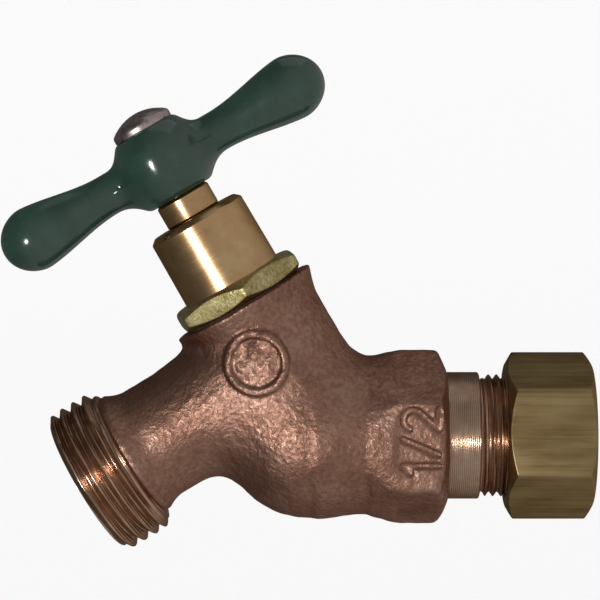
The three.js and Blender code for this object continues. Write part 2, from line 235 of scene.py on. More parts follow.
def polygon_radius(angle, flat, sides, crispness=70):
    """The radius of a regular polygon with slightly rounded corners, one of them at angle 0."""
    normals = math.pi / sides + np.arange(sides) * 2 * math.pi / sides
    facing = np.maximum(np.cos(angle - normals), 0.0)
    return flat / np.sum(facing**crispness) ** (1 / crispness)


def round_corners(points, radius, steps=4, closed=True):
    """Replaces each corner of an outline with a small arc of steps + 1 points."""
    points = np.asarray(points, float)
    count = len(points)
    rounded = []
    for i in range(count):
        here = points[i]
        if not closed and i in (0, count - 1):
            rounded.extend([here] * (steps + 1))
            continue
        before = points[i - 1] - here
        after = points[(i + 1) % count] - here
        reach = min(radius, 0.45 * np.linalg.norm(before), 0.45 * np.linalg.norm(after))
        first = here + before / (np.linalg.norm(before) + 1e-9) * reach
        last = here + after / (np.linalg.norm(after) + 1e-9) * reach
        for step in range(steps + 1):
            t = step / steps
            rounded.append((1 - t) ** 2 * first + 2 * t * (1 - t) * here + t**2 * last)
    return np.array(rounded)


def even_angles(count):
    """Evenly spaced angles of a full turn."""
    return np.arange(count) * 2 * math.pi / count


def corner_angles(sides, per_side=22):
    """Angles that crowd toward the corners of a polygon."""
    t = np.linspace(-1, 1, per_side, endpoint=False)
    bent = np.sin(t * math.pi / 2)
    half = math.pi / sides
    return np.concatenate([half + k * 2 * half + half * bent for k in range(sides)])


def revolve(name, outline_at, angles, matrix, material, body, rounding=0.2, closed=True):
    """A body turned about Z, whose outline of (radius, height) may change with the angle."""
    rings = []
    for angle in angles:
        outline = round_corners(outline_at(angle), rounding, closed=closed)
        radius, height = outline[:, 0], outline[:, 1]
        rings.append(np.stack([radius * math.cos(angle), radius * math.sin(angle), height], 1))
    around, along = len(rings), len(rings[0])
    faces = []
    for i in range(around):
        for j in range(along if closed else along - 1):
            k, m = (i + 1) % around, (j + 1) % along
            faces.append((i * along + j, k * along + j, k * along + m, i * along + m))
    return make_object(name, np.concatenate(rings), faces, matrix, material, body)


def smooth_min(a, b, reach):
    """The union of two distance fields, with a fillet of about reach between them."""
    share = np.clip(0.5 + 0.5 * (b - a) / reach, 0, 1)
    return b * (1 - share) + a * share - reach * share * (1 - share)


def smooth_max(a, b, reach):
    """The overlap of two distance fields, with an edge rounded by about reach."""
    return -smooth_min(-a, -b, reach)


CELL_CORNERS = [(i, j, k) for i in (0, 1) for j in (0, 1) for k in (0, 1)]
CELL_EDGES = [
    (a, b)
    for a in range(8)
    for b in range(a + 1, 8)
    if sum(x != y for x, y in zip(CELL_CORNERS[a], CELL_CORNERS[b])) == 1
]


def isosurface(field, low, high, step):
    """Vertices and faces of the surface where field(x, y, z) is 0, by surface nets, then
    moved onto the field's own zero by Newton steps."""
    low = np.array(low, float)
    axes = [np.arange(a, b + step, step) for a, b in zip(low, high)]
    value = field(*np.meshgrid(*axes, indexing="ij"))
    inside = value < 0
    cells = tuple(n - 1 for n in value.shape)
    filled = np.zeros(cells, np.int8)
    for i, j, k in CELL_CORNERS:
        filled += inside[i:i + cells[0], j:j + cells[1], k:k + cells[2]]
    active = np.argwhere((filled > 0) & (filled < 8))
    index = np.full(cells, -1, np.int64)
    index[tuple(active.T)] = np.arange(len(active))
    at_corner = np.stack([value[tuple((active + c).T)] for c in CELL_CORNERS], 1)
    total = np.zeros((len(active), 3))
    crossings = np.zeros(len(active))
    for a, b in CELL_EDGES:
        crossed = (at_corner[:, a] < 0) != (at_corner[:, b] < 0)
        gap = np.where(crossed, at_corner[:, a] - at_corner[:, b], 1)
        share = (at_corner[:, a] / gap)[:, None]
        point = np.array(CELL_CORNERS[a]) + share * np.subtract(CELL_CORNERS[b], CELL_CORNERS[a])
        total += np.where(crossed[:, None], point, 0)
        crossings += crossed
    verts = low + (active + total / crossings[:, None]) * step
    for _ in range(3):
        here, slope = field_and_slope(field, verts)
        move = here[:, None] * slope / (np.sum(slope**2, 1) + 1e-6)[:, None]
        verts -= np.clip(move, -0.5 * step, 0.5 * step)
    faces = []
    for axis in range(3):
        ahead = np.roll(inside, -1, axis)
        crossed = inside != ahead
        crossed[tuple(-1 if d == axis else slice(None) for d in range(3))] = False
        edges = np.argwhere(crossed)
        side, other = [d for d in range(3) if d != axis]
        edges = edges[(edges[:, side] > 0) & (edges[:, other] > 0)]
        ring = []
        for back_side, back_other in ((1, 1), (0, 1), (0, 0), (1, 0)):
            cell = edges.copy()
            cell[:, side] -= back_side
            cell[:, other] -= back_other
            ring.append(index[tuple(cell.T)])
        faces.append(np.stack(ring, 1))
    return verts, np.concatenate(faces)


def field_and_slope(field, verts):
    """A field's value and gradient at each vertex."""
    nudge = 0.02
    here = field(*verts.T)
    slope = np.zeros_like(verts)
    for d in range(3):
        shift = np.zeros(3)
        shift[d] = nudge
        slope[:, d] = (field(*(verts + shift).T) - field(*(verts - shift).T)) / (2 * nudge)
    return here, slope


THREAD_SIDES = 160
THREAD_ROWS = 14


def thread_ridge(thread, height, angle):
    """How far a helical V thread stands up at a place, from 0 at its root to 1 at its crest."""
    turn = (height - thread["start"]) / thread["pitch"] - angle / (2 * math.pi)
    turn = (turn - thread["phase"]) % 1
    return min(1, max(0, 1.2 * (1 - abs(turn - 0.5) * 2) - 0.1))


def screw_thread(name, thread, tube, matrix, material, body, rows=THREAD_ROWS):
    """A tube with a helical thread outside. tube holds the (radius, height) points of its
    outline before and after the thread. Rows follow the helix, so the crests stay sharp."""
    root, pitch = thread["root"], thread["pitch"]
    start, end = thread["start"], thread["end"]
    around = THREAD_SIDES
    count = int(math.ceil((end - start) / pitch + 1)) * rows
    step = pitch / rows
    depth = thread["crest"] - root

    def outer(height, angle):
        ridge = thread_ridge(thread, height, angle)
        fade = min(1, max(0, (height - start) / (0.5 * pitch)))
        chamfer = root + (end - height) * 1.5
        return min(root + depth * ridge * fade, max(chamfer, root - 0.4))

    rings = []
    for i in range(around):
        angle = i * 2 * math.pi / around
        lead = angle / (2 * math.pi) * rows
        ring = [(radius, height) for radius, height in tube["before"]]
        for j in range(count + 1):
            height = min(end, max(start, start + (j - rows + lead) * step))
            ring.append((outer(height, angle), height))
        ring += tube["after"]
        outline = np.array(ring)
        rings.append(np.stack([
            outline[:, 0] * math.cos(angle), outline[:, 0] * math.sin(angle), outline[:, 1]
        ], 1))
    before, along = len(tube["before"]), len(rings[0])
    faces = []
    for i in range(around - 1):
        for j in range(along):
            m = (j + 1) % along
            faces.append((i * along + j, (i + 1) * along + j, (i + 1) * along + m, i * along + m))
    last = (around - 1) * along

    def over_seam(j):
        """The row of ring 0 that continues row j of the last ring, one turn further on."""
        if before <= j < before + count + 1:
            return min(j + rows, before + count)
        return j % along

    for j in range(along):
        m = (j + 1) % along
        faces.append((last + j, over_seam(j), over_seam(m), last + m))
    return make_object(name, np.concatenate(rings), faces, matrix, material, body, 25)


# ---- Materials ----


class Surface:
    """A Principled material whose inputs are fed by procedural textures on object coordinates."""

    def __init__(self, name, metallic, coat=0.0, coat_roughness=0.03, edge=(1, 1, 1)):
        self.material = bpy.data.materials.new(name)
        self.material.use_nodes = True
        self.tree = self.material.node_tree
        self.shader = self.tree.nodes["Principled BSDF"]
        self.shader.inputs["Metallic"].default_value = metallic
        self.shader.inputs["Coat Weight"].default_value = coat
        self.shader.inputs["Coat Roughness"].default_value = coat_roughness
        self.shader.inputs["Specular Tint"].default_value = (*edge, 1)
        self.coords = self.tree.nodes.new("ShaderNodeTexCoord").outputs["Object"]

    def node(self, kind, **inputs):
        """A new node, with each input linked or set; _ in a name stands for a space."""
        made = self.tree.nodes.new(kind)
        for key, value in inputs.items():
            socket = made.inputs[key.replace("_", " ")]
            if isinstance(value, bpy.types.NodeSocket):
                self.tree.links.new(value, socket)
            else:
                socket.default_value = value
        return made

    def stretched(self, scale):
        """The object coordinates, scaled."""
        return self.node("ShaderNodeMapping", Vector=self.coords, Scale=scale).outputs["Vector"]

    def grain(self, size, detail=3.0, roughness=0.6, stretch=(1, 1, 1), distortion=0.0):
        """Noise from 0 to 1 with features of about size millimetres."""
        vector = self.stretched([s / (size * MM) for s in stretch])
        made = self.node(
            "ShaderNodeTexNoise", Vector=vector, Scale=1.0, Detail=detail, Roughness=roughness,
            Distortion=distortion,
        )
        return made.outputs["Fac"]

    def turning(self, size):
        """Fine rings round the piece's own Z axis, as a lathe tool leaves."""
        return self.grain(size, detail=2.0, stretch=(0.02, 0.02, 1))

    def tool_marks(self, pitch):
        """Even rings round Z from 0 to 1, one for each pitch in millimetres."""
        made = self.node("ShaderNodeTexWave", Vector=self.stretched([1 / (pitch * MM)] * 3))
        made.bands_direction = "Z"
        made.wave_profile = "SIN"
        made.inputs["Scale"].default_value = math.pi / 10
        made.inputs["Distortion"].default_value = 0.0
        return made.outputs["Fac"]

    def math(self, operation, a, b):
        """a and b joined by a math operation; each is a number or a socket."""
        made = self.tree.nodes.new("ShaderNodeMath")
        made.operation = operation
        for socket, value in zip(made.inputs, (a, b)):
            if isinstance(value, bpy.types.NodeSocket):
                self.tree.links.new(value, socket)
            else:
                socket.default_value = value
        return made.outputs["Value"]

    def ramp(self, value, low, high, first, last):
        """Maps value from low..high to first..last."""
        made = self.node("ShaderNodeMapRange", Value=value)
        made.inputs["From Min"].default_value = low
        made.inputs["From Max"].default_value = high
        made.inputs["To Min"].default_value = first
        made.inputs["To Max"].default_value = last
        return made.outputs["Result"]

    def colours(self, value, stops):
        """The colour at value on a ramp of (position, colour) stops."""
        made = self.node("ShaderNodeValToRGB", Fac=value)
        ramp = made.color_ramp
        while len(ramp.elements) < len(stops):
            ramp.elements.new(0.5)
        for element, (position, colour) in zip(ramp.elements, stops):
            element.position = position
            element.color = (*colour, 1)
        return made.outputs["Color"]

    def set(self, socket, value):
        """Feeds one of the shader's inputs."""
        self.tree.links.new(value, self.shader.inputs[socket])

    def bump(self, layers):
        """Stacks bumps, each (height, depth in millimetres)."""
        normal = None
        for height, depth in layers:
            made = self.node("ShaderNodeBump", Height=height, Distance=depth * MM, Strength=1.0)
            if normal is not None:
                self.tree.links.new(normal, made.inputs["Normal"])
            normal = made.outputs["Normal"]
        self.set("Normal", normal)


def cast_bronze():
    """Sand-cast red bronze with an uneven tone, plus painted shade in the pits and painted highlights on the
    raised grains.
    """
    s = Surface("cast_bronze", metallic=1.0, edge=(0.65, 0.54, 0.5))
    sand = s.grain(0.8, detail=3.0, roughness=0.55, distortion=0.2)
    ripple = s.grain(1.9, detail=2.0)
    mottle = s.grain(9, detail=3.0)
    # The sand grain lightens the colour where it raises the bump: painted highlights on the grains and painted
    # shade in the pits. The broad mottle is the bronze's own uneven tone.
    shade = s.math("ADD", s.math("MULTIPLY", sand, 0.5), s.math("MULTIPLY", mottle, 0.5))
    s.set("Base Color", s.colours(shade, [
        (0.36, (0.27, 0.135, 0.095)), (0.5, (0.36, 0.195, 0.140)), (0.62, (0.44, 0.265, 0.200)),
    ]))
    s.set("Roughness", s.ramp(sand, 0.35, 0.65, 0.52, 0.38))
    s.bump([(ripple, 0.16), (sand, 0.17)])
    return s.material


def machined_bronze():
    """The threads and the neck: bright bronze with fine feed marks round them."""
    s = Surface("machined_bronze", metallic=1.0, edge=(0.6, 0.48, 0.4))
    rings = s.turning(0.3)
    marks = s.tool_marks(0.33)
    stain = s.grain(4, detail=3.0)
    s.set("Base Color", s.colours(stain, [
        (0.35, (0.43, 0.275, 0.19)), (0.5, (0.50, 0.335, 0.24)), (0.65, (0.57, 0.40, 0.30)),
    ]))
    s.set("Roughness", s.ramp(rings, 0.3, 0.7, 0.18, 0.28))
    s.bump([(marks, 0.042), (rings, 0.015)])
    return s.material


def turned_brass():
    """Polished brass with faint lathe rings and light tarnish."""
    s = Surface("turned_brass", metallic=1.0, edge=(0.7, 0.58, 0.42))
    rings = s.turning(0.12)
    stain = s.grain(5, detail=4.0)
    s.set("Base Color", s.colours(stain, [
        (0.3, (0.50, 0.31, 0.15)), (0.5, (0.62, 0.39, 0.20)), (0.7, (0.68, 0.47, 0.25)),
    ]))
    s.set("Roughness", s.ramp(rings, 0.3, 0.7, 0.2, 0.28))
    s.bump([(rings, 0.003)])
    return s.material


def milled_brass():
    """The hexagon's flats: paler and yellower than the turned parts, with a frosted grain."""
    s = Surface("milled_brass", metallic=1.0)
    frost = s.grain(0.5, detail=4.0, roughness=0.65)
    patches = s.grain(3, detail=3.0)
    shade = s.math("ADD", s.math("MULTIPLY", frost, 0.6), s.math("MULTIPLY", patches, 0.4))
    s.set("Base Color", s.colours(shade, [
        (0.36, (0.30, 0.23, 0.09)), (0.5, (0.50, 0.42, 0.19)), (0.64, (0.70, 0.62, 0.34)),
    ]))
    s.set("Roughness", s.ramp(frost, 0.35, 0.65, 0.5, 0.34))
    s.bump([(frost, 0.05)])
    return s.material


def drawn_brass():
    """Dull bar stock with draw marks along the nut's axis."""
    s = Surface("drawn_brass", metallic=1.0, edge=(0.66, 0.54, 0.45))
    streaks = s.grain(0.7, detail=5.0, stretch=(1, 1, 0.03))
    stain = s.grain(6, detail=3.0, stretch=(1, 1, 0.4))
    shade = s.math("ADD", s.math("MULTIPLY", streaks, 0.4), s.math("MULTIPLY", stain, 0.6))
    s.set("Base Color", s.colours(shade, [
        (0.36, (0.22, 0.145, 0.065)), (0.5, (0.32, 0.225, 0.105)), (0.64, (0.40, 0.30, 0.15)),
    ]))
    s.set("Roughness", s.ramp(streaks, 0.3, 0.7, 0.34, 0.44))
    s.bump([(streaks, 0.012)])
    return s.material


def nickel_steel():
    """Dull nickel plate, worn in patches."""
    s = Surface("nickel_steel", metallic=1.0)
    wear = s.grain(1.5, detail=4.0)
    s.set("Base Color", s.colours(wear, [(0.35, (0.34, 0.27, 0.26)), (0.65, (0.62, 0.52, 0.50))]))
    s.set("Roughness", s.ramp(wear, 0.3, 0.7, 0.2, 0.38))
    s.bump([(wear, 0.01)])
    return s.material


def green_enamel():
    """Thick glossy enamel that pools a little, so its surface is faintly uneven."""
    s = Surface("green_enamel", metallic=0.0, coat=0.6)
    pooling = s.grain(6, detail=2.0)
    specks = s.grain(0.5, detail=2.0)
    s.set("Base Color", s.colours(pooling, [
        (0.35, (0.009, 0.025, 0.018)), (0.65, (0.014, 0.038, 0.027)),
    ]))
    s.set("Roughness", s.ramp(specks, 0.3, 0.7, 0.12, 0.2))
    s.bump([(pooling, 0.05), (specks, 0.004)])
    return s.material


def rubber():
    """Black rubber with a little grey bloom."""
    s = Surface("black_rubber", metallic=0.0)
    bloom = s.grain(0.8, detail=3.0)
    s.set("Base Color", s.colours(bloom, [(0.35, (0.012,) * 3), (0.65, (0.035,) * 3)]))
    s.set("Roughness", s.ramp(bloom, 0.3, 0.7, 0.6, 0.8))
    s.bump([(bloom, 0.02)])
    return s.material


def red_fibre():
    """Pressed red fibre."""
    s = Surface("red_fibre", metallic=0.0)
    fibres = s.grain(0.4, detail=4.0, stretch=(1, 1, 4))
    s.set("Base Color", s.colours(fibres, [
        (0.35, (0.06, 0.02, 0.016)), (0.65, (0.13, 0.05, 0.036)),
    ]))
    s.set("Roughness", s.ramp(fibres, 0.3, 0.7, 0.7, 0.9))
    s.bump([(fibres, 0.03)])
    return s.material


CAST = cast_bronze()
MACHINED = machined_bronze()
BRASS = turned_brass()
MILLED = milled_brass()
DRAWN = drawn_brass()
NICKEL = nickel_steel()
ENAMEL = green_enamel()
RUBBER = rubber()
FIBRE = red_fibre()

# ---- The casting ----

SPOUT_COS = -spout_axis.x
SPOUT_SIN = -spout_axis.z
STEM_COS = stem_axis.z
STEM_SIN = -stem_axis.x
MEDALLION = {
    "across": -2.6, "along": 17.6, "radius": 4.9, "width": 0.75, "height": 0.6, "field": 5.7,
    "roughness": 3,
}
MARK = {"left": 13.6, "low": -4.9, "tall": 6, "half_width": 0.62, "depth": 0.5}


def mark_strokes():
    """The size mark 1/2 as line ends (x, z) on the front flat; it reads upward."""
    bowl = [
        (9.3 - 1.7 * math.cos(a), 4.3 + 1.7 * math.sin(a))
        for a in np.radians(np.linspace(20, 215, 8))
    ]
    lines = [
        [(0.2, 4.7), (1.5, 6), (1.5, 0)],
        [(3.4, 0), (6, 6)],
        bowl + [(7.6, 0), (11.1, 0)],
    ]
    top = MARK["left"] + MARK["tall"]
    return [
        ((top - h1, MARK["low"] + g1), (top - h2, MARK["low"] + g2))
        for line in lines
        for (g1, h1), (g2, h2) in zip(line, line[1:])
    ]


def to_strokes(x, z):
    """Distance to the nearest stroke of the size mark."""
    nearest = np.full(x.shape, 9.0)
    for (x1, z1), (x2, z2) in mark_strokes():
        dx, dz = x2 - x1, z2 - z1
        share = np.clip(((x - x1) * dx + (z - z1) * dz) / (dx * dx + dz * dz), 0, 1)
        nearest = np.minimum(nearest, np.hypot(x - x1 - share * dx, z - z1 - share * dz))
    return nearest


def sand_waves(count, shortest, longest, seed):
    """Plane waves in all directions, each (kx, ky, kz, phase)."""
    draw = np.random.default_rng(seed)
    heading = draw.normal(size=(count, 3))
    heading /= np.linalg.norm(heading, axis=1)[:, None]
    length = draw.uniform(shortest, longest, count)
    phase = draw.uniform(0, 6.28, count)
    return np.column_stack([heading * (2 * math.pi / length)[:, None], phase])


SAND_WAVES = sand_waves(18, 1.4, 3.4, seed=7)
SAND_HEIGHT = 0.035
SAND_SPREAD = 6  # brings the sum of the waves to about -1 to 1


def sand_lumps(x, y, z):
    """An uneven surface from about -1 to 1, as sand leaves on a casting."""
    total = np.zeros(x.shape)
    for kx, ky, kz, phase in SAND_WAVES:
        total += np.sin(kx * x + ky * y + kz * z + phase)
    return total / SAND_SPREAD


def from_slab(place, low, high):
    """Distance outside the slab between two places along an axis."""
    return np.abs(place - (low + high) / 2) - (high - low) / 2


def trimming_cone(from_axis, x, cone):
    """Distance outside one of the cones that trim the hexagon."""
    return cone["steepness"] * (from_axis - cone["radius"] + cone["slope"] * (x - cone["at"]))


def casting_hexagon(x, y, z):
    """Distance to the wrench hexagon."""
    low_z = z + HEXAGON_DROP
    from_axis = np.sqrt(y**2 + low_z**2)
    rounding = HEXAGON_ROUNDING
    sides = [np.abs(y)]
    sides += [np.abs(y / 2 + way * low_z * math.sqrt(3) / 2) for way in (-1, 1)]
    flats = smooth_max(smooth_max(sides[0], sides[1], rounding), sides[2], rounding) - WRENCH_FLAT
    nose = trimming_cone(from_axis, x, HEXAGON_NOSE)
    heel = trimming_cone(from_axis, x, HEXAGON_HEEL)
    trimmed = smooth_max(flats, nose, rounding)
    hexagon = smooth_max(trimmed, smooth_max(heel, x - HEXAGON_END, 0.5), rounding)
    return smooth_max(hexagon, HEXAGON_START - x, 0.5)


def casting_field(x, y, z):
    """Distance to the casting: below 0 in its metal. x runs along the inlet, z is up."""
    across = STEM_COS * x + STEM_SIN * z
    along = -STEM_SIN * x + STEM_COS * z
    from_stem = np.sqrt(across**2 + y**2)
    from_inlet = np.sqrt(y**2 + z**2)
    root_x = x + STEM_SIN * SPOUT_ROOT
    root_z = z - STEM_COS * SPOUT_ROOT
    down_spout = -SPOUT_COS * root_x - SPOUT_SIN * root_z
    over_spout = -SPOUT_SIN * root_x + SPOUT_COS * root_z
    from_spout = np.sqrt(over_spout**2 + y**2)
    from_cast_spout = np.sqrt((over_spout - SPOUT_RISE) ** 2 + y**2)

    globe = np.sqrt((x - GLOBE_SHIFT) ** 2 + y**2 + z**2) - GLOBE_RADIUS
    up_flare = (along - BOSS_FLARE_START) / (BOSS_TOP - BOSS_FLARE_START)
    flare = BOSS_FLARE * np.clip(up_flare, 0, 1) ** 1.4
    boss = smooth_max(from_stem - BOSS_RADIUS - flare, from_slab(along, 0, BOSS_TOP), 0.5)
    barrel = smooth_max(from_inlet - BARREL_RADIUS, from_slab(x, 0, BARREL_END), 0.5)
    down_shoulder = (down_spout - SPOUT_SHOULDER_START) / SPOUT_SHOULDER_LENGTH
    shoulder = np.clip(down_shoulder, 0, 1) ** 2 * (SPOUT_SHOULDER - SPOUT_RADIUS)
    up_flare = (SPOUT_FLARE_END - down_spout) / SPOUT_FLARE_LENGTH
    shoulder += SPOUT_FLARE * np.clip(up_flare, 0, 1) ** 1.5
    spout_side = from_cast_spout - SPOUT_RADIUS - shoulder
    spout = smooth_max(spout_side, from_slab(down_spout, 0, SPOUT_END), 0.4)

    lost = SPOUT_FILLET_LOSS * np.clip((along - FILLET_LOSS_START) / FILLET_LOSS_LENGTH, 0, 1)
    outside = smooth_min(globe, boss, BOSS_FILLET)
    outside = smooth_min(outside, spout, SPOUT_FILLET - lost)
    outside = smooth_min(outside, barrel, BARREL_FILLET)
    outside = smooth_min(outside, casting_hexagon(x, y, z), HEXAGON_FILLET)
    outside = np.maximum(outside, along - BOSS_TOP)

    hollow = np.minimum.reduce([
        np.maximum(from_stem - CHAMBER_BORE, CHAMBER_FLOOR - along),
        np.maximum(from_stem - BONNET_SOCKET_BORE, BONNET_SOCKET_START - along),
        np.maximum(from_stem - SEAT_BORE, from_slab(along, 0, SEAT_DEPTH)),
        np.sqrt(x**2 + y**2 + z**2) - INLET_BORE,
        np.maximum(from_inlet - INLET_BORE, -x),
        np.maximum(from_inlet - NECK_SOCKET_BORE, NECK_SOCKET_START - x),
        np.maximum(from_spout - SPOUT_BORE, -down_spout),
        np.maximum(from_spout - THREAD_SOCKET_BORE, THREAD_SOCKET_START - down_spout),
    ])

    on_front = (y < 0) * 1.0
    from_centre = np.hypot(across - MEDALLION["across"], along - MEDALLION["along"])
    from_ring = np.abs(from_centre - MEDALLION["radius"]) / MEDALLION["width"]
    ring = MEDALLION["height"] * np.clip(1.3 - from_ring**2, 0, 1)
    in_field = np.clip(MEDALLION["field"] - from_centre, 0, 1) * on_front
    rough = 1 + MEDALLION["roughness"] * in_field
    groove = np.clip(1.25 - (to_strokes(x, z) / MARK["half_width"]) ** 2, 0, 1) * MARK["depth"]
    relief = (ring - groove) * on_front + SAND_HEIGHT * rough * sand_lumps(x, y, z)
    return np.maximum(outside - relief, -hollow)


def build_casting():
    verts, faces = isosurface(casting_field, (-40, -16, -17), (23, 16, 31), step=0.367)
    piece = make_object("body_casting", verts, faces.tolist(), BODY, CAST, "tap_body", 50)
    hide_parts("valve_body")


build_casting()

# ---- Machined ends of the body ----


def build_hose_thread():
    tube = {
        "before": [(7.5, 27), (9.4, 27), (10.2, 29.4)],
        "after": [(11.3, HOSE_THREAD["end"]), (7.9, HOSE_THREAD["end"]), (7.5, 38.95)],
    }
    piece = screw_thread("hose_thread", HOSE_THREAD, tube, SPOUT, MACHINED, "tap_body", rows=16)


def build_inlet_neck():
    tube = {
        "before": [
            (8, 25), (INLET_BORE, 25), (INLET_BORE, 19.6), (9.6, 19.6), (10.95, 21),
            (10.95, 26.9), (10.75, 27.1), (9.7, 27.2),
        ],
        "after": [(9.6, INLET_THREAD["end"]), (8, 37.7)],
    }
    piece = screw_thread("inlet_neck", INLET_THREAD, tube, INLET, MACHINED, "tap_body")


build_hose_thread()
build_inlet_neck()

# ---- Compression joint ----


def build_nut():
    def outline(angle):
        corner = polygon_radius(angle - NUT_TURN, NUT_FLAT, 6)
        chamfer = (corner - NUT_FACE_RADIUS) * FACE_CHAMFER
        return [
            (NUT_BORE, NUT_START), (NUT_FACE_RADIUS, NUT_START), (corner, NUT_START + chamfer),
            (corner, NUT_END - chamfer), (NUT_FACE_RADIUS, NUT_END), (NUT_TUBE_HOLE, NUT_END),
            (NUT_TUBE_HOLE, NUT_CONE_END), (9.9, NUT_CONE_START), (NUT_BORE, NUT_CONE_START),
        ]

    piece = revolve(
        "brass_nut", outline, corner_angles(6) + NUT_TURN, INLET, DRAWN, "nut", rounding=0.25
    )
    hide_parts("compression_nut")


def build_nut_thread():
    """The female thread, a thin sleeve in the nut's wall that mates with the neck's thread. Its
    rows lie on the helix of the neck's rows, and its last ring meets the first one turn on."""
    start, pitch, root = (INLET_THREAD[key] for key in ("start", "pitch", "root"))
    depth = INLET_THREAD["crest"] - root
    around, rows = THREAD_SIDES, THREAD_ROWS
    step = pitch / rows
    first = int((NUT_START - start) / step)
    count = int(math.ceil((NUT_THREAD_END - NUT_START) / pitch + 1)) * rows
    verts = []
    for i in range(around + 1):
        angle = i * 2 * math.pi / around
        ring = [(NUT_THREAD_WALL, NUT_START + 0.3)]
        for j in range(count + 1):
            height = start + (first + j - rows + i / around * rows) * step
            height = min(NUT_THREAD_END, max(NUT_START + 0.05, height))
            inner = root + depth * thread_ridge(INLET_THREAD, height, angle) + NUT_THREAD_GAP
            countersink = NUT_BORE - (height - NUT_START)
            ring.append((max(inner, countersink), height))
        ring.append((NUT_THREAD_WALL, NUT_THREAD_END))
        verts += [(r * math.cos(angle), r * math.sin(angle), height) for r, height in ring]
    along = count + 3
    faces = []
    for i in range(around):
        here, there = i * along, (i + 1) * along
        for j in range(along):
            m = (j + 1) % along
            faces.append((here + j, here + m, there + m, there + j))
    piece = make_object("nut_thread", verts, faces, INLET, DRAWN, "nut", 25)


def build_ferrule():
    outline = [(8.04, 38.7), (8.34, 38.7), (9.2, 39.7), (9.2, 42.6), (8.34, 44), (8.04, 44)]
    piece = revolve(
        "ferrule_ring", lambda angle: outline, even_angles(96), INLET, BRASS, "ferrule",
        rounding=0.4,
    )
    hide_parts("compression_ferrule")


build_nut()
build_nut_thread()
build_ferrule()

# ---- Bonnet and stem ----


def build_bonnet():
    def outline(angle):
        corner = polygon_radius(angle - BONNET_TURN, BONNET_FLAT, 6)
        chamfer = (corner - BONNET_FACE_RADIUS) * FACE_CHAMFER
        return [
            (6.2, 20.5), (8.3, 20.5), (8.3, HEX_LOW), (BONNET_FACE_RADIUS, HEX_LOW),
            (corner, HEX_LOW + chamfer), (corner, HEX_HIGH - chamfer),
            (BONNET_FACE_RADIUS, HEX_HIGH), (8.93, HEX_HIGH), (8.8, 42.9), (7.8, BONNET_TOP),
            (BONNET_LIP_BORE, BONNET_TOP), (BONNET_LIP_BORE, 43), (BONNET_SEAL_BORE, 43),
            (BONNET_SEAL_BORE, 32.6), (6.2, 32.6),
        ]

    piece = revolve(
        "bonnet_brass", outline, corner_angles(6) + BONNET_TURN, STEM, BRASS, "tap_body",
        rounding=0.22,
    )
    piece.data.materials.append(MILLED)
    for face in piece.data.polygons:
        radius = math.hypot(face.center.x, face.center.y)
        in_hexagon = face.center.z < (HEX_HIGH + 0.01) * MM and radius > BONNET_MILLED_FROM * MM
        face.material_index = int(in_hexagon)
    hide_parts("bonnet")


def build_gasket():
    outline = [(8.6, 26.7), (10.1, 26.7), (10.1, HEX_LOW), (8.6, HEX_LOW)]
    piece = revolve(
        "gasket_ring", lambda angle: outline, even_angles(96), STEM, FIBRE, "tap_body",
        rounding=0.1,
    )
    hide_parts("bonnet_gasket")


def build_stem():
    def outline(angle):
        square = polygon_radius(angle - math.pi / 4, 3, 4)
        return [
            (0, 17.6), (2, 17.6), (2, 11.6), (6.7, 11.6), (6.7, 9.8), (7.3, 9.8), (7.3, 13),
            (4.5, 13), (4.5, 16.4), (5.9, 17.2), (5.9, 25), (4.75, 26.4), (4.75, 33),
            (SEAL_LAND, 33), (SEAL_LAND, 33.35), (SEAL_GROOVE, 33.35), (SEAL_GROOVE, 35.05),
            (SEAL_LAND, 35.05), (SEAL_LAND, 35.35), (SEAL_GROOVE, 35.35), (SEAL_GROOVE, 37.05),
            (SEAL_LAND, 37.05), (SEAL_LAND, 37.4), (4.75, 37.4), (4.75, 43.9), (4.92, 44.1),
            (4.92, 47.7), (4.4, 48.3), (square, 48.3), (square, 59.4), (2.6, 59.4),
            (2.6, 50.5), (0, 50.5),
        ]

    piece = revolve(
        "stem_brass", outline, corner_angles(4, 26), HANDLE, BRASS, "spindle", closed=False,
        rounding=0.12,
    )
    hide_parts("stem")


def build_seals():
    for node, height in SEAL_HEIGHTS.items():
        circle = [
            (SEAL_RING_RADIUS + SEAL_SECTION * math.cos(a), height + SEAL_SECTION * math.sin(a))
            for a in even_angles(16)
        ]
        piece = revolve(
            node + "_rubber", lambda angle, circle=circle: circle, even_angles(72), HANDLE, RUBBER,
            "spindle", rounding=0.0,
        )
        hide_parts(node)
    outline = [(2.1, 8.3), (6.4, 8.3), (6.4, 11.3), (2.1, 11.3)]
    piece = revolve(
        "seat_washer_rubber", lambda angle: outline, even_angles(72), STEM, RUBBER, "washer",
        rounding=0.4,
    )
    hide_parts("seat_washer")


build_bonnet()
build_gasket()
build_stem()
build_seals()

frame["nodes"]["washer_screw"].data.materials.clear()
frame["nodes"]["washer_screw"].data.materials.append(BRASS)

# ---- Tee handle and its screw ----


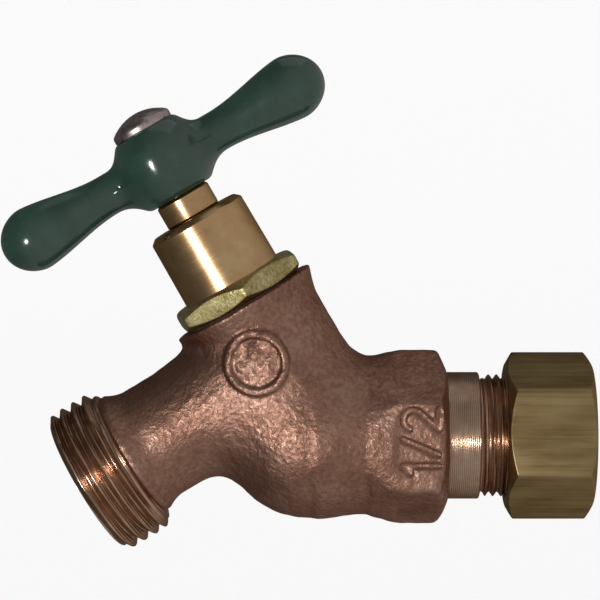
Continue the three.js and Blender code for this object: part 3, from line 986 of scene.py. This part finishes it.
def handle_field(x, y, z):
    """Distance to the handle, whose arms lie along x."""
    from_axis = np.sqrt(x**2 + y**2)
    hub_radius = HUB_RADIUS - HUB_TAPER * np.abs((z - ARM_HEIGHT) / HUB_TAPER_HEIGHT) ** 2.5
    hub = smooth_max(from_axis - hub_radius, np.abs(z - HUB_MIDDLE) - HUB_HALF_HEIGHT, 0.7)

    reach = np.abs(x)
    swell = np.clip((reach - ARM_SWELL_START) / ARM_SWELL_LENGTH, 0, 1)
    swell = swell**2 * (3 - 2 * swell)
    height = ARM_WAIST + (ARM_LOBE - ARM_WAIST) * swell
    depth = ARM_WAIST * ARM_FLATNESS + ARM_SWELL_DEPTH * swell
    centre = ARM_HEIGHT + ARM_RISE * x
    past_lobe = np.maximum(reach - ARM_LOBE_CENTRE, 0) / ARM_LOBE_REACH
    arm = np.sqrt(((z - centre) / height) ** 2 + (y / depth) ** 2 + past_lobe**2)
    arm = (arm - 1) * depth
    outside = smooth_min(hub, arm, np.where(z > ARM_HEIGHT, 2.0, 3.6))

    in_square = np.maximum(np.abs(x), np.abs(y)) - SQUARE_HOLE
    hole = np.maximum(in_square, from_slab(z, SQUARE_HOLE_START, SQUARE_HOLE_END))
    screw_hole = np.maximum(from_axis - SCREW_HOLE, 50 - z)
    return np.maximum(outside, -np.minimum(hole, screw_hole))


def build_handle():
    verts, faces = isosurface(handle_field, (-34, -9, 47), (34, 9, 62.5), step=0.36)
    piece = make_object("tee_handle", verts, faces.tolist(), HANDLE, ENAMEL, "spindle", 50)
    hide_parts("handle")


def screw_field(x, y, z):
    """Distance to the handle's slotted screw."""
    from_axis = np.sqrt(x**2 + y**2)
    dome = np.sqrt(from_axis**2 + (z - SCREW_CROWN + SCREW_DOME) ** 2) - SCREW_DOME
    head = smooth_max(smooth_max(dome, from_axis - SCREW_HEAD, 0.3), SCREW_UNDERSIDE - z, 0.2)
    along_shank = np.maximum(SCREW_TIP - z, z - SCREW_UNDERSIDE - 0.5)
    shank = np.maximum(from_axis - SCREW_SHANK, along_shank)
    slot = np.maximum(np.abs(y) - SCREW_SLOT, SCREW_CROWN - SCREW_SLOT_DEPTH - z)
    return smooth_max(np.minimum(head, shank), -slot, 0.15)


def build_handle_screw():
    verts, faces = isosurface(screw_field, (-6, -6, 51), (6, 6, 64.8), step=0.16)
    piece = make_object("truss_screw", verts, faces.tolist(), HANDLE, NICKEL, "spindle", 40)
    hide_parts("handle_screw")


build_handle()
build_handle_screw()

# ---- Stage, lights and camera ----

# Distances here are metres. The sensor's width is in Blender's own millimetres.
CENTRE = valve_centre + Vector((-3.7, 0, 23.5)) * MM
CAMERA_DISTANCE = 0.45
CAMERA_ELEVATION = math.radians(5)
SENSOR_WIDTH = 36
VIEW_WIDTH = 103.4 * MM
FLOOR_DROP = 0.06
WALL_RADIUS = 1.6
WALL_TOP = 2.5
SWEEP = 0.6
SWEEP_STEPS = 12
PAPER_GLOW = 0.665
STUDIO_BRIGHT_SIDE = (0.75, -0.4, -0.2)
STUDIO_STRENGTH = {"From Min": -0.6, "From Max": 0.7, "To Min": 0.09, "To Max": 0.46}
STUDIO_COLOUR = (1, 0.98, 0.95, 1)


def build_backdrop():
    """A pale round floor that sweeps up into a wall on every side. Mirror rays pass through it
    to the world, which stands for the dark studio around the lamps."""
    floor_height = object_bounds()[0][2] - FLOOR_DROP
    profile = [(0.0, floor_height), (WALL_RADIUS - SWEEP, floor_height)]
    for step in range(1, SWEEP_STEPS + 1):
        angle = step / SWEEP_STEPS * math.pi / 2
        profile.append((
            WALL_RADIUS - SWEEP * (1 - math.sin(angle)),
            floor_height + SWEEP * (1 - math.cos(angle)),
        ))
    profile.append((WALL_RADIUS, WALL_TOP))
    sides, rows = 96, len(profile)
    verts = [
        (radius * math.cos(angle), radius * math.sin(angle), height)
        for angle in even_angles(sides)
        for radius, height in profile
    ]
    faces = []
    for i in range(sides):
        k = (i + 1) % sides
        for j in range(rows - 1):
            faces.append((i * rows + j, k * rows + j, k * rows + j + 1, i * rows + j + 1))
    mesh = bpy.data.meshes.new("backdrop")
    mesh.from_pydata(verts, [], faces)
    mesh.shade_smooth()
    s = Surface("pale_paper", metallic=0.0)
    fibre = s.grain(4, detail=2.0)
    s.set("Base Color", s.colours(fibre, [(0.3, (0.34,) * 3), (0.7, (0.36,) * 3)]))
    s.shader.inputs["Roughness"].default_value = 0.9
    s.shader.inputs["Specular IOR Level"].default_value = 0.0
    s.shader.inputs["Emission Color"].default_value = (1, 1, 1, 1)
    s.shader.inputs["Emission Strength"].default_value = PAPER_GLOW
    mesh.materials.append(s.material)
    backdrop = bpy.data.objects.new("backdrop", mesh)
    bpy.context.scene.collection.objects.link(backdrop)
    backdrop.visible_glossy = False
    backdrop.visible_shadow = False


def area_light(name, offset, power, side):
    """A soft square light, at an offset from the view's centre and facing it."""
    data = bpy.data.lights.new(name, "AREA")
    data.shape = "SQUARE"
    data.size = side
    data.energy = power
    light = bpy.data.objects.new(name, data)
    light.visible_camera = False
    light.location = CENTRE + Vector(offset)
    light.rotation_euler = (-Vector(offset)).to_track_quat("-Z", "Y").to_euler()
    bpy.context.scene.collection.objects.link(light)


def build_world():
    """A dim studio, brighter to the right and below than to the upper left."""
    world = bpy.data.worlds.new("studio")
    world.use_nodes = True
    tree = world.node_tree
    background = tree.nodes["Background"]
    coords = tree.nodes.new("ShaderNodeTexCoord")
    facing = tree.nodes.new("ShaderNodeVectorMath")
    facing.operation = "DOT_PRODUCT"
    facing.inputs[1].default_value = STUDIO_BRIGHT_SIDE
    ramp = tree.nodes.new("ShaderNodeMapRange")
    ramp.interpolation_type = "SMOOTHSTEP"
    for socket, value in STUDIO_STRENGTH.items():
        ramp.inputs[socket].default_value = value
    tree.links.new(coords.outputs["Generated"], facing.inputs[0])
    tree.links.new(facing.outputs["Value"], ramp.inputs["Value"])
    tree.links.new(ramp.outputs["Result"], background.inputs["Strength"])
    background.inputs["Color"].default_value = STUDIO_COLOUR
    bpy.context.scene.world = world


def build_camera():
    """A camera that faces the object's side from a little above and sees VIEW_WIDTH across."""
    data = bpy.data.cameras.new("camera")
    data.sensor_width = SENSOR_WIDTH
    data.lens = SENSOR_WIDTH * CAMERA_DISTANCE / VIEW_WIDTH
    data.clip_start = 0.01
    data.clip_end = 20
    camera = bpy.data.objects.new("camera", data)
    offset = Vector((0, -math.cos(CAMERA_ELEVATION), math.sin(CAMERA_ELEVATION)))
    camera.location = CENTRE + offset * CAMERA_DISTANCE
    camera.rotation_euler = (-offset).to_track_quat("-Z", "Y").to_euler()
    bpy.context.scene.collection.objects.link(camera)
    bpy.context.scene.camera = camera


build_backdrop()
area_light("key", offset=(-0.38, -0.83, -0.11), power=2.7, side=0.12)
area_light("top", offset=(0, 0.1, 0.9), power=0.5, side=0.8)
build_world()
build_camera()
bpy.context.scene.view_settings.view_transform = "Standard"
